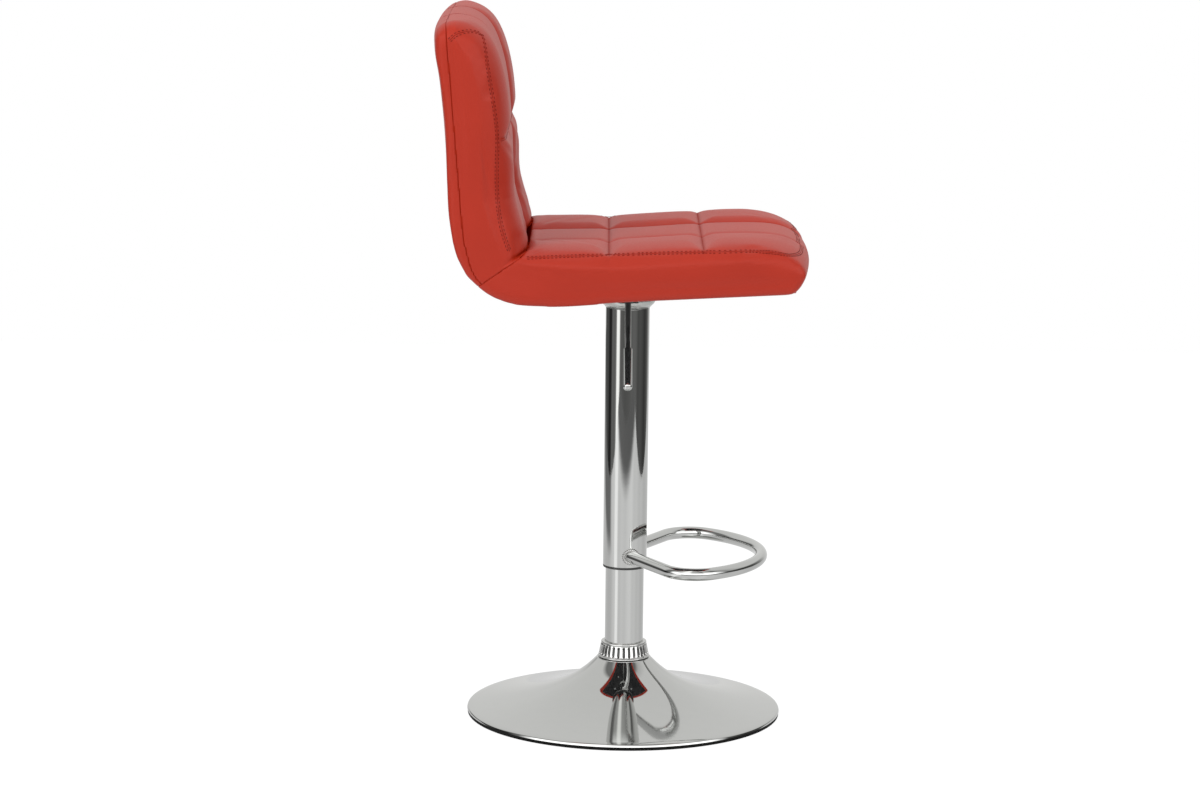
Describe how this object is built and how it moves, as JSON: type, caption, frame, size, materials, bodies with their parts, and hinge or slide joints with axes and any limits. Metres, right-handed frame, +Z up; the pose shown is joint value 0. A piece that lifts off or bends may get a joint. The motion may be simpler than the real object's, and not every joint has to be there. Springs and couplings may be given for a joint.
{
  "type": "bar stool",
  "caption": "Swivel bar stool with a tufted L-shaped seat on a gas lift, a footrest loop, a release lever and a round trumpet base.",
  "frame": {"origin": "on the column axis at floor level, the underside of the rubber ring", "axes": "+Z up along the column, +X the way the sitter faces, -Y the sitter's right, where the lever is"},
  "size_m": [0.4739, 0.41, 0.9218],
  "materials": {
    "chrome": "polished",
    "weld": "satin",
    "rubber": "matte",
    "black_plastic": "satin",
    "raw_steel": "satin",
    "light_alloy": "satin",
    "black_paint": "satin",
    "zinc": "satin",
    "hub_finish": "satin",
    "plywood": "matte",
    "red_cover": "satin",
    "dust_cloth": "matte"
  },
  "bodies": {
    "base": {"floor_ring": "rubber", "base_shell": "chrome", "base_weight": "raw_steel", "column_socket": "raw_steel", "base_collar": "chrome", "column_tube": "chrome", "column_end_plate": "raw_steel", "column_bush": "black_plastic", "bearing_lower_washer": "raw_steel", "bearing_cage": "black_plastic", "bearing_balls": "raw_steel"},
    "rod": {"bearing_upper_washer": "raw_steel", "piston_rod": "raw_steel", "piston": "light_alloy", "piston_seal": "rubber", "rod_washer": "raw_steel", "rod_clip": "raw_steel"},
    "seat": {"gas_cylinder": "raw_steel", "rod_guide": "light_alloy", "rod_seal": "rubber", "valve_body": "light_alloy", "sleeve": "chrome", "sleeve_bush": "black_plastic", "sleeve_cap": "raw_steel", "footrest": "chrome", "footrest_welds": "weld", "taper_socket": "black_paint", "hub_cover": "hub_finish", "seat_plate": "black_paint", "lever_bracket": "black_paint", "lever_pin": "raw_steel", "plate_bolts": "zinc", "plate_washers": "zinc", "tee_nuts": "zinc", "seat_shell": "plywood", "seat_cushion": "red_cover", "back_cushion": "red_cover", "rear_panel": "red_cover", "dust_cover": "dust_cloth"},
    "lever": {"lever_arm": "chrome", "lever_grip": "chrome"},
    "valve": {"valve_pin": "raw_steel"}
  },
  "joints": [
    {"name": "swivel", "type": "hinge", "parent": "base", "child": "rod", "pos_m": [0, 0, 0.03], "axis": [0, 0, 1], "continuous": true},
    {"name": "seat_lift", "type": "slide", "parent": "rod", "child": "seat", "axis": [0, 0, 1], "range_m": [-0.085, 0.12]},
    {"name": "lever_tilt", "type": "hinge", "parent": "seat", "child": "lever", "pos_m": [0, -0.026, 0.557], "axis": [-1, 0, 0], "range_deg": [0, 8], "stiffness_Nm_per_rad": 1.5, "springref_deg": -11.46},
    {"name": "valve_press", "type": "slide", "parent": "seat", "child": "valve", "axis": [0, 0, -1], "range_m": [0, 0.004]}
  ],
  "couplings": [
    {"joint": "valve_press", "follows": "lever_tilt", "m_per_rad": 0.028}
  ]
}
